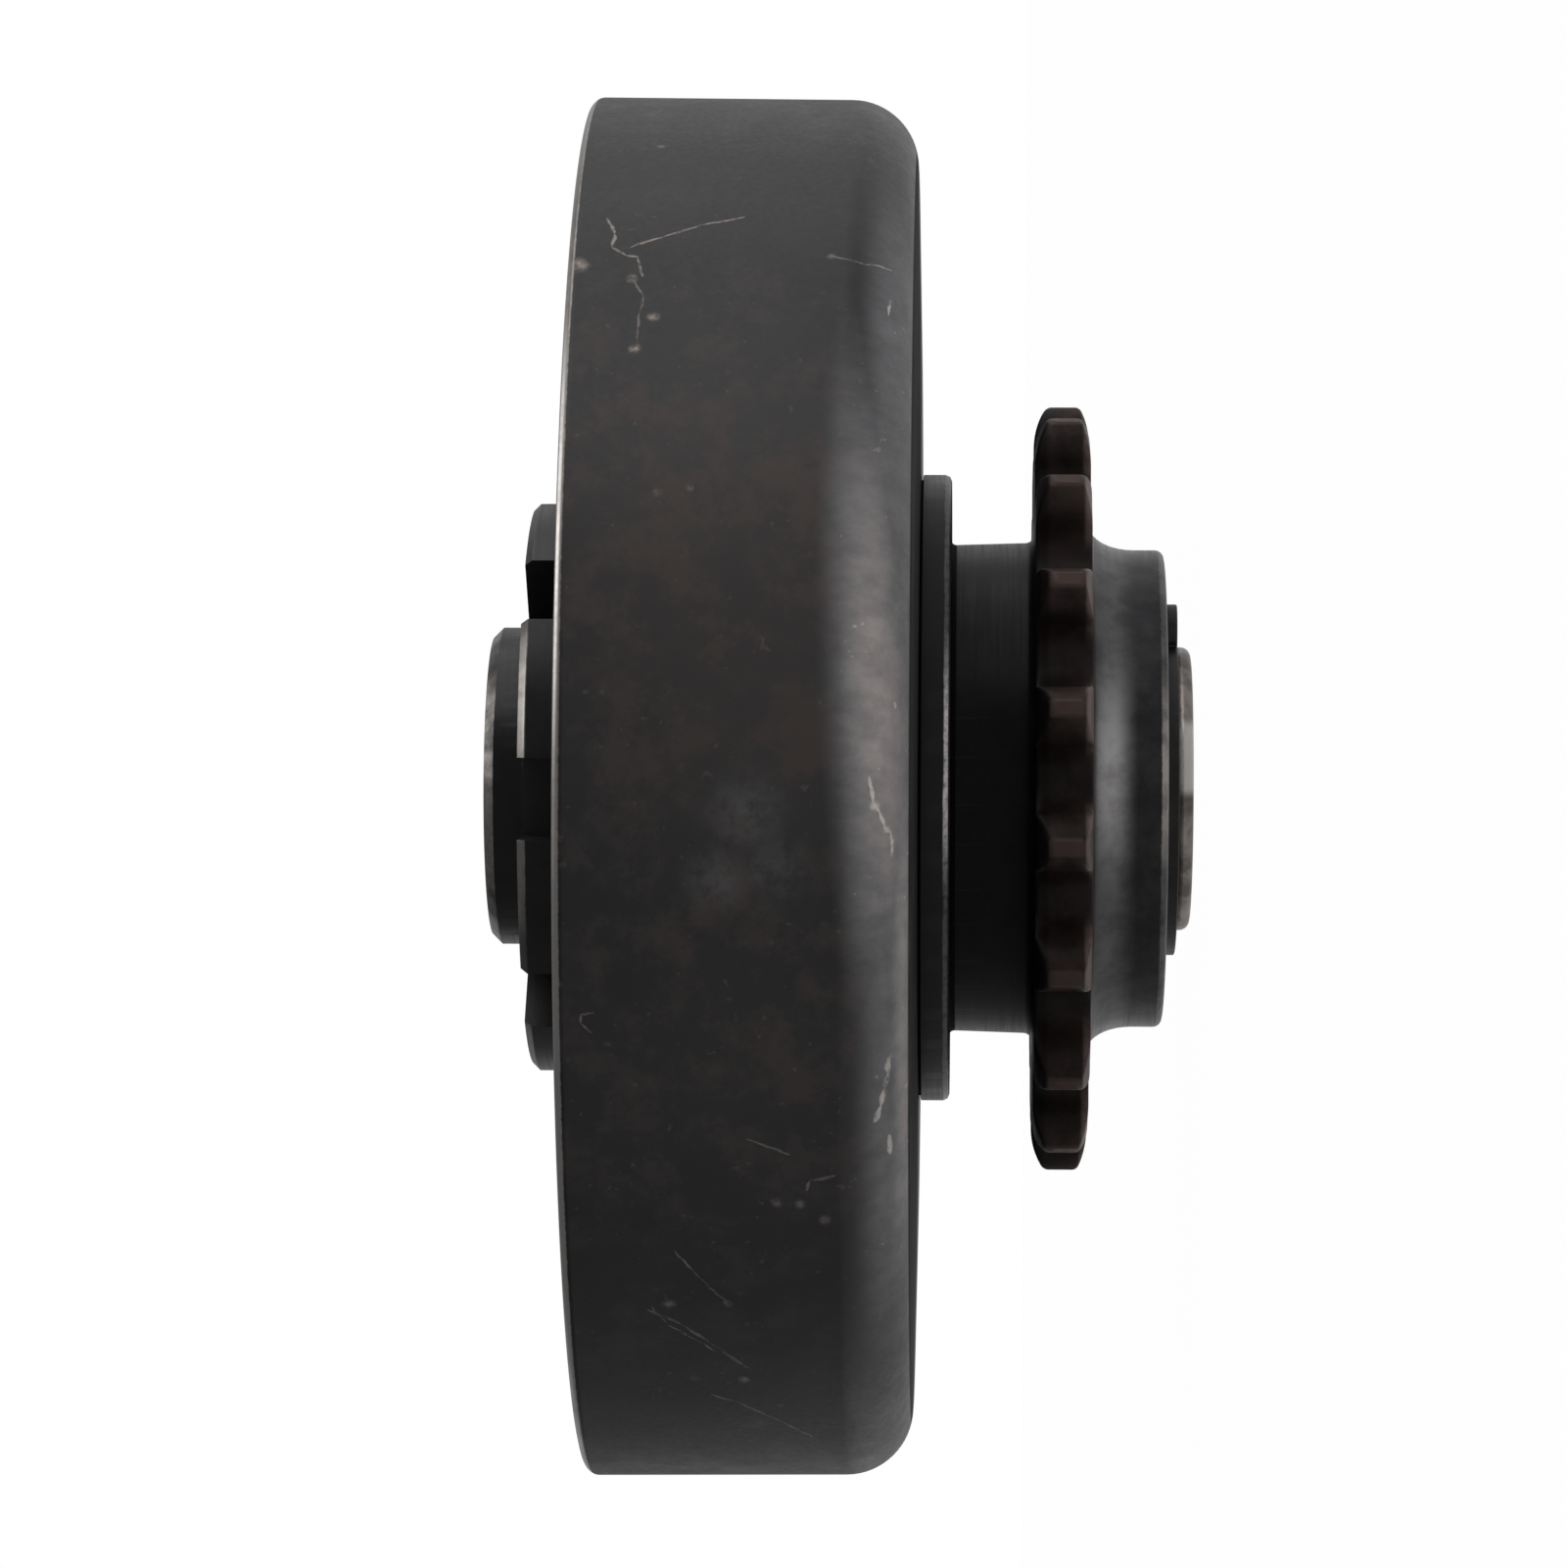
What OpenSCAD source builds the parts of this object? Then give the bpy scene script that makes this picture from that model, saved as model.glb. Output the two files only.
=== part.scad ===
// Centrifugal clutch with a chain sprocket, for a small engine's crankshaft.
// The clutch stands on the sleeve end (z = 0) with the open side of the drum up.
// The crankshaft turns the drive hub. Eight shoes slide out in the hub's slots
// against a garter spring and grip the drum, which carries the chain sprocket.

/* [Drive hub] */
// Length of the clutch along its axis
overall_l = 54.6; // [53.4:0.1:60]
// Crankshaft bore
bore_d = 15.88; // [14:0.01:16.3]
// Width of the keyway
key_w = 4.76; // [3:0.01:6]
// Depth of the keyway past the bore wall
key_depth = 2.13; // [1:0.01:2.3]
// Diameter of the sleeve that the drum runs on
journal_d = 22.2; // [21.6:0.1:23.4]
// Diameter of the boss at the open end
boss_d = 24.9; // [23:0.1:29]
// Height of the boss above the driver face
boss_rise = 3.3; // [1.5:0.1:5]
// Diameter of the castellated driver
driver_d = 44.8; // [41:0.1:48]
// Width of each slot in the driver
slot_w = 6.2; // [4:0.1:8]
// Depth of each slot from the driver's rim
slot_depth = 6.8; // [4:0.1:6.9]
// Angle of the first slot
slot_phase = -2.6; // [-20:0.1:20]
// Chamfer on the driver's upper edge
driver_chamfer = 0.6; // [0.2:0.05:1.5]
// Chamfer on the boss and rounding of the sleeve end
boss_chamfer = 0.75; // [0.2:0.05:1.1]
// Chamfer at both ends of the bore
bore_chamfer = 0.5; // [0.2:0.05:1]

/* [Drum] */
// Outside diameter of the drum
drum_d = 107.8; // [104:0.1:120]
// Depth of the drum from its open rim to the face that meets the flange
drum_depth = 25.5; // [24.8:0.1:29]
// Thickness of the drum's wall
wall_t = 3; // [2:0.1:4]
// Thickness of the drum's back
back_t = 3; // [2:0.1:3.2]
// Outside radius of the corner between wall and back
corner_r = 5; // [4.3:0.1:9]
// How far the outer part of the back lies in from the part at the flange
dish = 0.4; // [0:0.05:0.6]
// Draft of the drawn wall, taken off the radius at the corner
wall_draft = 0.22; // [0:0.01:0.4]
// Turned chamfer on the rim's outer edge
rim_chamfer = 0.45; // [0.2:0.05:1.2]

/* [Sprocket hub] */
// Number of teeth
teeth = 18; // [18:1:20]
// Chain pitch
pitch = 9.525; // [9.3:0.005:9.8]
// Diameter of the chain's rollers
roller_d = 5.08; // [4.6:0.01:5.3]
// How far the teeth reach past the pitch circle
tooth_rise = 2.5; // [1.6:0.1:2.7]
// Thickness of the sprocket
sprocket_t = 4.3; // [3.4:0.1:4.6]
// Radial depth of the rounded sides of the teeth
tooth_side_r = 3.1; // [1.5:0.1:4]
// How much each side of a tooth comes in at its tip
tooth_side_w = 0.7; // [0.2:0.05:1]
// Angle of the first tooth
tooth_phase = 1.5; // [-10:0.1:10]
// Diameter of the waist between sprocket and flange, at the sprocket
waist_d = 38.5; // [35:0.1:41]
// How much thinner the waist is at the flange, on the radius
waist_taper = 0.2; // [0:0.05:0.5]
// Fillet between the waist and the sprocket
waist_fillet = 0.6; // [0.2:0.1:1.2]
// Length of the waist between sprocket and flange
waist_l = 6.4; // [5.5:0.05:7.5]
// Diameter of the flange against the drum
flange_d = 49.1; // [45:0.1:56]
// Thickness of the flange
flange_t = 2.4; // [1.8:0.1:3.4]
// Height of the gap between the flange's edge and the drum
flange_gap_h = 0.4; // [0.1:0.05:0.8]
// Width of that gap
flange_gap_w = 1.2; // [0.5:0.1:3]
// Diameter of the nose
nose_d = 37.4; // [35:0.1:40]
// Length of the nose from its end to the sprocket
nose_l = 5.85; // [5:0.05:6.5]
// Width of the nose's fillet on the sprocket's side face
nose_fillet_r = 2; // [0.8:0.1:2.4]
// Length of the nose's fillet along the axis
nose_fillet_l = 3.5; // [1.5:0.1:3.8]
// How far the sleeve stands out of the nose
sleeve_proud = 2.15; // [1.95:0.05:3]
// Diameter of the spigot that goes through the drum's back
spigot_d = 31; // [29.6:0.1:34]
// Diameter of the staked edge that holds the drum on the spigot
stake_d = 33.4; // [32:0.1:36]
// Height of the staked edge above the drum's floor
stake_h = 0.5; // [0.3:0.05:0.7]

/* [Bushing and washers] */
// Wall of the bronze bushing
bushing_wall = 1.65; // [1:0.05:2]
// Diameter of both thrust washers
washer_d = 29.6; // [27:0.1:30.4]
// Thickness of the inner thrust washer
inner_washer_t = 0.8; // [0.5:0.05:1.2]
// Thickness of the outer thrust washer
outer_washer_t = 0.9; // [0.5:0.05:1.2]
// Diameter of the guide plate under the shoes
plate_d = 60; // [50:0.5:80]
// Thickness of the guide plate
plate_t = 0.8; // [0.6:0.05:1.2]

/* [Snap rings] */
// Thickness of the snap ring on the sleeve end
snap_t = 1; // [0.8:0.05:1.2]
// Depth of its groove in the sleeve
snap_groove = 0.5; // [0.3:0.05:0.6]
// Width of the ring opposite its opening
snap_w = 2.45; // [2:0.05:2.8]
// Width of the ring beside its lugs
snap_neck_w = 1.7; // [1.3:0.05:2]
// Reach of the lugs from the ring's seat
lug_reach = 4.3; // [3.4:0.1:4.5]
// Diameter of the plier holes
lug_hole_d = 1.7; // [1.2:0.1:2]
// Angle from the opening's middle to a lug's middle
lug_angle = 17; // [15:0.5:22]
// Width of the opening between the lugs
lug_gap = 3.4; // [1.5:0.1:4]
// Thickness of the ring that keeps the shoes in the driver
retainer_t = 1.2; // [0.8:0.1:1.4]
// Depth of its groove in the driver
retainer_groove = 1; // [0.6:0.1:1.4]
// Reach of that ring past the driver's rim
retainer_reach = 2.4; // [1.5:0.1:4]

/* [Shoes] */
// Number of shoes and slots
shoes = 8; // [6:1:8]
// Width of the shoes along the axis
shoe_w = 17; // [14:0.1:17.2]
// Gap between neighbouring shoes
shoe_gap = 1.6; // [0.8:0.1:4]
// Thickness of the friction lining
lining_t = 3.2; // [2:0.1:5]
// How far the lining stops short of each edge of its shoe
lining_inset = 0.5; // [0:0.1:1.5]
// Room between lining and drum at rest
lining_room = 0.85; // [0.5:0.05:1.5]
// Chamfer on the shoes' outer edges
shoe_chamfer = 0.6; // [0.2:0.1:1]

/* [Garter spring] */
// Radius of the spring channel's inner wall
channel_r = 31.2; // [28:0.1:38]
// Radius of the coils, to the outside of the wire
coil_r = 1.8; // [1.2:0.1:2.2]
// Radius of the wire
wire_r = 0.42; // [0.25:0.01:0.5]
// Coils over each shoe
coils_per_shoe = 9; // [6:1:10]

/* [Clearances] */
// Radial running clearance of the bushing on the sleeve
running_gap = 0.05; // [0.02:0.01:0.09]
// Radial clearance of pieces that are pressed or bonded together
press_gap = 0.02; // [0.01:0.01:0.04]
// Axial play between pieces that turn against each other
face_gap = 0.1; // [0.05:0.01:0.2]
// Clearance on each side of a shoe's tongue in its slot
tongue_gap = 0.1; // [0.05:0.01:0.3]
// Room between a resting shoe and the driver
seat_gap = 0.3; // [0.2:0.05:0.5]
// Clearance above and below the shoes
shoe_end_gap = 0.3; // [0.15:0.05:0.4]
// Room between the garter spring and its channel
spring_gap = 0.1; // [0.05:0.01:0.3]

/* [Hidden] */
$fn = 96;

journal_r = journal_d / 2;
bore_r = bore_d / 2;
driver_r = driver_d / 2;
drum_r = drum_d / 2;
eps = 0.5;

// Heights along the axis, from the sleeve end up
driver_top_z = overall_l - boss_rise;
nose_end_z = sleeve_proud;
sprocket_z = nose_end_z + nose_l;
waist_z = sprocket_z + sprocket_t;
flange_z = waist_z + waist_l;
drum_back_z = flange_z + flange_t;
drum_floor_z = drum_back_z + back_t;
rim_z = drum_back_z + drum_depth;
spigot_z = drum_floor_z + stake_h;
inner_washer_z = spigot_z + face_gap;
shoulder_z = inner_washer_z + inner_washer_t;
driver_z = shoulder_z + plate_t;
shoe_z = driver_z + shoe_end_gap;
shoe_top_z = shoe_z + shoe_w;
retainer_z = shoe_top_z + shoe_end_gap;

// The outer thrust washer lies in a recess of the nose, between the bushing and the snap ring
recess_r = washer_d / 2 + 0.3;
recess_z = nose_end_z + outer_washer_t + face_gap;
outer_washer_z = nose_end_z + face_gap / 2;
snap_z = outer_washer_z - face_gap / 2 - snap_t;

bushing_in_r = journal_r + running_gap;
bushing_out_r = bushing_in_r + bushing_wall;
hub_bore_r = bushing_out_r + press_gap;
spigot_r = spigot_d / 2;
pilot_r = driver_r - slot_depth - 0.3;

// The chain's pitch circle, and the circles that shape one tooth
pitch_r = pitch / 2 / sin(180 / teeth);
tip_r = pitch_r + tooth_rise;
seat_r = roller_d / 2 * 1.035;
tooth_cx = pitch_r * cos(180 / teeth);
tooth_half = pitch / 2 - seat_r + 0.03;
flank_r = seat_r * 1.28;

drum_in_r = drum_r - wall_t;
lining_r = drum_in_r - lining_room;
shoe_r = lining_r - lining_t;
shoe_in_r = driver_r + seat_gap;
tongue_in_r = driver_r - slot_depth + seat_gap;
shoe_step = 360 / shoes;

coil_centre_r = channel_r + spring_gap + coil_r;
channel_out_r = coil_centre_r + coil_r + 4 * spring_gap;
channel_depth = 2 * coil_r + 4 * spring_gap;
coil_z = shoe_top_z - channel_depth + spring_gap + coil_r;

// Points along an arc, or along an ellipse when the two radii differ
function arc(cx, cy, rx, ry, from, to, steps = 8) =
    [for (i = [0:steps]) let (a = from + (to - from) * i / steps)
        [cx + rx * cos(a), cy + ry * sin(a)]];

module ring(outer, inner, z, h) {
    translate([0, 0, z])
        difference() {
            cylinder(r = outer, h = h);
            translate([0, 0, -eps]) cylinder(r = inner, h = h + 2 * eps);
        }
}

module drive_hub() {
    color("dimgray")
        difference() {
            rotate_extrude() drive_hub_profile();
            translate([0, -key_w / 2, -eps])
                cube([bore_r + key_depth, key_w, overall_l + 2 * eps]);
            ring(journal_r + eps, journal_r - snap_groove, snap_z, snap_t);
            ring(driver_r + eps, driver_r - retainer_groove, retainer_z, retainer_t);
            for (i = [0:shoes - 1])
                rotate([0, 0, slot_phase + i * shoe_step])
                    translate([driver_r - slot_depth, -slot_w / 2, shoulder_z])
                        cube([slot_depth + eps, slot_w, driver_top_z - shoulder_z + eps]);
        }
}

module drive_hub_profile() {
    boss_r = boss_d / 2;
    undercut = 0.3;
    polygon(concat(
        [[bore_r, bore_chamfer], [bore_r + bore_chamfer, 0]],
        arc(journal_r - boss_chamfer, boss_chamfer, boss_chamfer, boss_chamfer, -90, 0, 4),
        [[journal_r, shoulder_z], [pilot_r, shoulder_z], [pilot_r, driver_z],
         [driver_r, driver_z], [driver_r, driver_top_z - driver_chamfer],
         [driver_r - driver_chamfer, driver_top_z], [boss_r + undercut, driver_top_z],
         [boss_r, driver_top_z + undercut], [boss_r, overall_l - boss_chamfer],
         [boss_r - boss_chamfer, overall_l], [bore_r + bore_chamfer, overall_l],
         [bore_r, overall_l - bore_chamfer]]));
}

module drum_cup() {
    inner_corner_r = max(corner_r - wall_t, 0.5);
    corner_x = drum_r - wall_draft - corner_r;
    floor_x = drum_in_r - inner_corner_r;
    dish_r = flange_d / 2 + 9;
    color([0.2, 0.2, 0.21])
        difference() {
            rotate_extrude()
                polygon(concat(
                    [[0, drum_back_z], [dish_r, drum_back_z]],
                    arc(corner_x, drum_back_z + dish + corner_r, corner_r, corner_r, -90, 0, 12),
                    [[drum_r, rim_z - rim_chamfer], [drum_r - rim_chamfer, rim_z],
                     [drum_in_r + 0.3, rim_z], [drum_in_r, rim_z - 0.3]],
                    arc(floor_x, drum_floor_z + dish + inner_corner_r,
                        inner_corner_r, inner_corner_r, 0, -90, 6),
                    [[dish_r, drum_floor_z], [0, drum_floor_z]]));
            translate([0, 0, drum_back_z - eps])
                cylinder(r = spigot_r + press_gap, h = back_t + 2 * eps);
        }
}

module sprocket_hub() {
    color([0.19, 0.15, 0.14])
        difference() {
            union() {
                rotate_extrude() sprocket_hub_profile();
                toothed_ring();
            }
            translate([0, 0, nose_end_z - eps])
                cylinder(r = hub_bore_r, h = spigot_z - nose_end_z + 2 * eps);
            translate([0, 0, nose_end_z - eps])
                cylinder(r = recess_r, h = recess_z - nose_end_z + eps);
        }
}

module sprocket_hub_profile() {
    nose_r = nose_d / 2;
    waist_r = waist_d / 2;
    waist_foot_r = waist_r - waist_taper;
    flange_r = flange_d / 2;
    end_round = 0.7;
    flange_round = 0.6;
    undercut = 0.25;
    polygon(concat(
        [[0, nose_end_z]],
        arc(nose_r - end_round, nose_end_z + end_round, end_round, end_round, -90, 0, 4),
        arc(nose_r + nose_fillet_r, sprocket_z - nose_fillet_l,
            nose_fillet_r, nose_fillet_l, 180, 90, 8),
        [[nose_r + nose_fillet_r, waist_z]],
        arc(waist_r + waist_fillet, waist_z + waist_fillet, waist_fillet, waist_fillet,
            -90, -180, 4),
        [[waist_foot_r, flange_z - undercut], [waist_foot_r - undercut, flange_z - undercut],
         [waist_foot_r - undercut, flange_z]],
        arc(flange_r - flange_round, flange_z + flange_round,
            flange_round, flange_round, -90, 0, 4),
        [[flange_r, drum_back_z - flange_gap_h],
         [flange_r - flange_gap_w, drum_back_z - flange_gap_h],
         [flange_r - flange_gap_w, drum_back_z],
         [spigot_r, drum_back_z], [spigot_r, drum_floor_z],
         [stake_d / 2, drum_floor_z], [stake_d / 2 - stake_h / 2, spigot_z],
         [0, spigot_z]]));
}

// The sprocket: a plate with rounded sides, cut to the outline of the teeth
module toothed_ring() {
    side_in_r = tip_r - tooth_side_r;
    curve_r = (tooth_side_r ^ 2 + tooth_side_w ^ 2) / 2 / tooth_side_w;
    sweep = asin(tooth_side_r / curve_r);
    hub_r = min(nose_d, waist_d) / 2 - 1;
    intersection() {
        translate([0, 0, sprocket_z - eps]) linear_extrude(sprocket_t + 2 * eps) tooth_outline();
        rotate_extrude()
            polygon(concat(
                [[hub_r, sprocket_z]],
                arc(side_in_r, sprocket_z + curve_r, curve_r, curve_r, -90, sweep - 90, 5),
                arc(side_in_r, waist_z - curve_r, curve_r, curve_r, 90 - sweep, 90, 5),
                [[hub_r, waist_z]]));
    }
}

// Each tooth is the overlap of two circles, and a roller's seat is cut on both sides of it
module tooth_outline() {
    intersection() {
        difference() {
            union() {
                circle(r = tooth_cx);
                for (i = [0:teeth - 1])
                    rotate(tooth_phase + i * 360 / teeth) tooth();
            }
            for (i = [0:teeth - 1])
                rotate(tooth_phase + (i + 0.5) * 360 / teeth)
                    translate([pitch_r, 0]) circle(r = seat_r);
        }
        circle(r = tip_r);
    }
}

module tooth() {
    intersection() {
        translate([tooth_cx, flank_r - tooth_half]) circle(r = flank_r);
        translate([tooth_cx, tooth_half - flank_r]) circle(r = flank_r);
    }
}

module bronze_bushing() {
    color("peru") ring(bushing_out_r, bushing_in_r, recess_z, spigot_z - recess_z);
}

module inner_thrust_washer() {
    color("silver")
        ring(washer_d / 2, journal_r + press_gap, inner_washer_z, inner_washer_t - press_gap);
}

module outer_thrust_washer() {
    color("silver")
        ring(washer_d / 2, journal_r + running_gap, outer_washer_z, outer_washer_t);
}

module guide_plate() {
    color("gainsboro") ring(plate_d / 2, pilot_r + press_gap, shoulder_z, plate_t);
}

// An eccentric ring with two plier lugs beside its opening
module snap_ring() {
    seat = journal_r - snap_groove + press_gap;
    outer_r = seat + (snap_w + snap_neck_w) / 2;
    offset_x = -(snap_w - snap_neck_w) / 2;
    lug_r = 2.15;
    color([0.1, 0.1, 0.1])
        translate([0, 0, snap_z])
            linear_extrude(snap_t)
                difference() {
                    union() {
                        translate([offset_x, 0]) circle(r = outer_r);
                        for (side = [-1, 1])
                            rotate(side * lug_angle)
                                translate([seat + lug_reach - lug_r, 0]) circle(r = lug_r);
                    }
                    circle(r = seat);
                    for (side = [-1, 1])
                        rotate(side * lug_angle)
                            translate([seat + lug_reach - lug_r, 0]) circle(r = lug_hole_d / 2);
                    translate([0, -lug_gap / 2]) square([2 * journal_r, lug_gap]);
                }
}

module shoe_retainer() {
    opening = 9;
    seat = driver_r - retainer_groove + press_gap;
    reach = driver_r + retainer_reach;
    color([0.3, 0.3, 0.32])
        difference() {
            ring(reach, seat, retainer_z + press_gap, retainer_t - 2 * press_gap);
            rotate([0, 0, slot_phase])
                translate([-reach - eps, -opening / 2, retainer_z - eps])
                    cube([reach, opening, retainer_t + 2 * eps]);
        }
}

// The plan of one shoe at angle 0: a wedge whose sides keep an even gap to its neighbours
module wedge(gap) {
    apex = gap / 2 / sin(shoe_step / 2);
    far = drum_r;
    polygon([[apex, 0], [apex + far, -far * tan(shoe_step / 2)],
             [apex + far, far * tan(shoe_step / 2)]]);
}

module at_shoe(i) {
    rotate([0, 0, slot_phase + (i - 1) * shoe_step]) children();
}

module shoe() {
    tongue_w = slot_w - 2 * tongue_gap;
    color([0.42, 0.42, 0.43])
        union() {
            intersection() {
                rotate_extrude()
                    polygon([
                        [shoe_in_r, shoe_z], [shoe_r - shoe_chamfer, shoe_z],
                        [shoe_r, shoe_z + shoe_chamfer], [shoe_r, shoe_top_z - shoe_chamfer],
                        [shoe_r - shoe_chamfer, shoe_top_z], [channel_out_r, shoe_top_z],
                        [channel_out_r, shoe_top_z - channel_depth],
                        [channel_r, shoe_top_z - channel_depth], [channel_r, shoe_top_z],
                        [shoe_in_r, shoe_top_z]]);
                translate([0, 0, shoe_z - eps])
                    linear_extrude(shoe_w + 2 * eps) wedge(shoe_gap);
            }
            translate([tongue_in_r, -tongue_w / 2, shoe_z])
                cube([shoe_in_r - tongue_in_r + 2, tongue_w, shoe_w]);
        }
}

module lining() {
    color([0.33, 0.26, 0.2])
        intersection() {
            ring(lining_r, shoe_r + press_gap, shoe_z + shoe_chamfer + lining_inset,
                 shoe_w - 2 * (shoe_chamfer + lining_inset));
            translate([0, 0, shoe_z])
                linear_extrude(shoe_w) wedge(shoe_gap + 2 * lining_inset);
        }
}

// A closed coil spring: a helix of round wire that follows a circle
module garter_spring() {
    coils = coils_per_shoe * shoes;
    steps = 8;
    sides = 4;
    helix_r = coil_r - wire_r;
    n = coils * steps;
    lay = atan2(2 * PI * coil_centre_r / coils, 2 * PI * helix_r);
    points = [for (i = [0:n - 1]) let (
            turn = 360 * i / steps, around = slot_phase + 360 * i / n,
            out = [cos(around), sin(around), 0], up = [0, 0, 1],
            along = [-sin(around), cos(around), 0],
            radial = cos(turn) * out + sin(turn) * up,
            across = cos(lay) * along - sin(lay) * (cos(turn) * up - sin(turn) * out))
        for (k = [0:sides - 1]) let (a = 360 * (k + 0.5) / sides)
            coil_centre_r * out + [0, 0, coil_z] + helix_r * radial
            + wire_r * (cos(a) * radial + sin(a) * across)];
    faces = [for (i = [0:n - 1], k = [0:sides - 1], half = [0, 1]) let (
            j = (i + 1) % n, l = (k + 1) % sides)
        half == 0 ? [i * sides + k, i * sides + l, j * sides + l]
                  : [i * sides + k, j * sides + l, j * sides + k]];
    color([0.25, 0.26, 0.28]) polyhedron(points = points, faces = faces);
}

module shoe_1() { at_shoe(1) shoe(); }
module shoe_2() { at_shoe(2) shoe(); }
module shoe_3() { at_shoe(3) shoe(); }
module shoe_4() { at_shoe(4) shoe(); }
module shoe_5() { at_shoe(5) shoe(); }
module shoe_6() { at_shoe(6) shoe(); }
module shoe_7() { if (shoes > 6) at_shoe(7) shoe(); }
module shoe_8() { if (shoes > 7) at_shoe(8) shoe(); }
module lining_1() { at_shoe(1) lining(); }
module lining_2() { at_shoe(2) lining(); }
module lining_3() { at_shoe(3) lining(); }
module lining_4() { at_shoe(4) lining(); }
module lining_5() { at_shoe(5) lining(); }
module lining_6() { at_shoe(6) lining(); }
module lining_7() { if (shoes > 6) at_shoe(7) lining(); }
module lining_8() { if (shoes > 7) at_shoe(8) lining(); }

drive_hub();
drum_cup();
sprocket_hub();
bronze_bushing();
inner_thrust_washer();
outer_thrust_washer();
guide_plate();
snap_ring();
shoe_retainer();
garter_spring();
shoe_1();
shoe_2();
shoe_3();
shoe_4();
shoe_5();
shoe_6();
shoe_7();
shoe_8();
lining_1();
lining_2();
lining_3();
lining_4();
lining_5();
lining_6();
lining_7();
lining_8();
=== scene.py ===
"""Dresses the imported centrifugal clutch: turned and toothed steel, bronze, springs and linings.

The clutch stands on its sleeve end. The photograph shows it from the side with the shaft level,
so the camera lies on its side: the picture's left is +Z and its top is +X.
"""

import math

import bmesh
import bpy
from mathutils import Matrix, Vector


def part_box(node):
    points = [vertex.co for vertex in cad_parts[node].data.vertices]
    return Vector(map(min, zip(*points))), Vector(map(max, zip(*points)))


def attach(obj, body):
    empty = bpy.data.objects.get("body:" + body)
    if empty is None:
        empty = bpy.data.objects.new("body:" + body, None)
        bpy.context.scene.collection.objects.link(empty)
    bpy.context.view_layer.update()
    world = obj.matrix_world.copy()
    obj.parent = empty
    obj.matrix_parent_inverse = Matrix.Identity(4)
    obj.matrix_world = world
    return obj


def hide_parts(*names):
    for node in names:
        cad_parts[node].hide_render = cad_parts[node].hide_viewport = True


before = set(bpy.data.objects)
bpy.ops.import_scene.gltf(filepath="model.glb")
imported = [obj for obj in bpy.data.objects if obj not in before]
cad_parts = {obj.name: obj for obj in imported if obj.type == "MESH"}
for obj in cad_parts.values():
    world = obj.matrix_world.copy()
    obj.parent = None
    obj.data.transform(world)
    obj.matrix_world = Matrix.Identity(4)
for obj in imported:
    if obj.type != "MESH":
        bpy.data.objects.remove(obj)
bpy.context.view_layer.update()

MM = 0.001
TAU = 2 * math.pi

# Sizes in millimetres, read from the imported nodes

def node_mm(node):
    low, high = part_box(node)
    return [x / MM for x in low], [x / MM for x in high]


drum_low, drum_high = node_mm("drum_cup")
sprocket_low, sprocket_high = node_mm("sprocket_hub")
snap_low, snap_high = node_mm("snap_ring")
plate_low, plate_high = node_mm("guide_plate")
hub_high = node_mm("drive_hub")[1]
inner_high = node_mm("inner_thrust_washer")[1]
outer_high = node_mm("outer_thrust_washer")[1]
bushing_high = node_mm("bronze_bushing")[1]

# Sizes in millimetres that the boxes don't give
BORE_R, BORE_CHAMFER = 7.94, 0.5
KEY_W, KEY_R = 4.76, 10.07
JOURNAL_R, JOURNAL_ROUND = 11.1, 0.75
BOSS_R, BOSS_RISE, BOSS_CHAMFER = 12.45, 3.3, 0.75
DRIVER_R, DRIVER_CHAMFER = 22.4, 0.55
SLOT_W, SLOT_DEPTH, SLOT_PHASE = 6.2, 6.8, -2.6
PILOT_R = 15.3
SNAP_GROOVE = 0.5
RETAINER_GROOVE = 1.0
SHOES = 8
DRUM_R = 53.9
WALL, BACK = 3.0, 3.0
CORNER_R, DISH, DISH_START, DRAFT = 5.0, 0.4, 9.0, 0.22
RIM_CHAMFER = 0.5
NOSE_R, NOSE_L, NOSE_ROUND = 18.7, 5.85, 0.65
NOSE_FILLET_R, NOSE_FILLET_L = 2.0, 3.5
SPROCKET_T = 4.3
WAIST_R, WAIST_TAPER, WAIST_FILLET, WAIST_L = 19.25, 0.2, 0.6, 6.4
FLANGE_R, FLANGE_CHAMFER = 24.55, 0.5
FLANGE_GAP_W, FLANGE_GAP_H = 0.4, 0.18
SPIGOT_R, SPIGOT_GAP, STAKE_R = 15.5, 0.02, 16.7
HUB_BORE_R = 12.82
RECESS_R, RECESS_DEPTH = 15.1, 1.0
TEETH, PITCH, ROLLER_D, TOOTH_RISE, TOOTH_PHASE = 18, 9.525, 5.08, 2.5, 1.5
TOOTH_SIDE_R, TOOTH_EDGE = 3.1, 0.32
TOOTH_SIDE_NOSE, TOOTH_SIDE_WAIST = 0.72, 1.0

NOSE_Z = sprocket_low[2]
SPROCKET_Z = NOSE_Z + NOSE_L
WAIST_Z = SPROCKET_Z + SPROCKET_T
FLANGE_Z = WAIST_Z + WAIST_L
DRUM_BACK_Z = drum_low[2]
RIM_Z = drum_high[2]
TOP_Z = hub_high[2]
DRIVER_TOP_Z = TOP_Z - BOSS_RISE


# Camera: 1 px of the photograph is 0.077 mm at the clutch's axis
PHOTO_PX = 1601
MM_PER_PX = 0.077
FOCAL_PX = 6400
VANISH_X = 990
AXIS_Y = 803.5
SLEEVE_END_X = 1213.7
ROLL = 0.0045


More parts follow.
